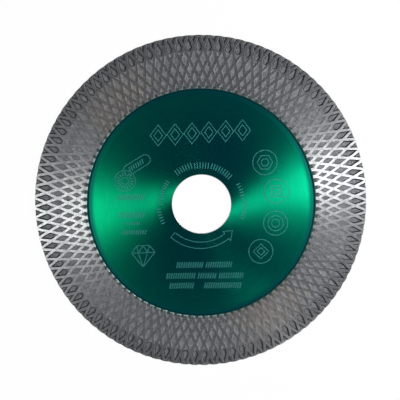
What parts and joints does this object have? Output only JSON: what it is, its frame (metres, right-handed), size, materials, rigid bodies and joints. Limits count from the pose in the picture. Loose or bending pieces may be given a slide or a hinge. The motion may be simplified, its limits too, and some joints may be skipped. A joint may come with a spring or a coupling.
{
  "type": "diamond blade",
  "caption": "Ultra-thin diamond disc for a small angle grinder: lacquered steel core, cutting crown with crossing ribs and deep pockets, and a flatter grinding mesh on both faces.",
  "frame": {"origin": "centre of the bore, half-way through the thickness of the steel core", "axes": "+Z along the axis of rotation, towards the printed front face; +X and +Y in the plane of the disc"},
  "size_m": [0.125, 0.125, 0.0012],
  "materials": {
    "lacquered_steel": "clear green lacquer over steel brushed in circles",
    "crown_bond": "sintered diamond bond, ground bright on the ribs, matt and gritty in the pockets",
    "mesh_bond": "sintered diamond bond, rougher, with worn bright ribs",
    "key_bond": "sintered bond, as pressed"
  },
  "bodies": {
    "root": {"steel_core": "lacquered_steel", "bond_keys": "key_bond", "cutting_crown": "crown_bond", "front_grinding_mesh": "mesh_bond", "back_grinding_mesh": "mesh_bond"}
  },
  "joints": []
}
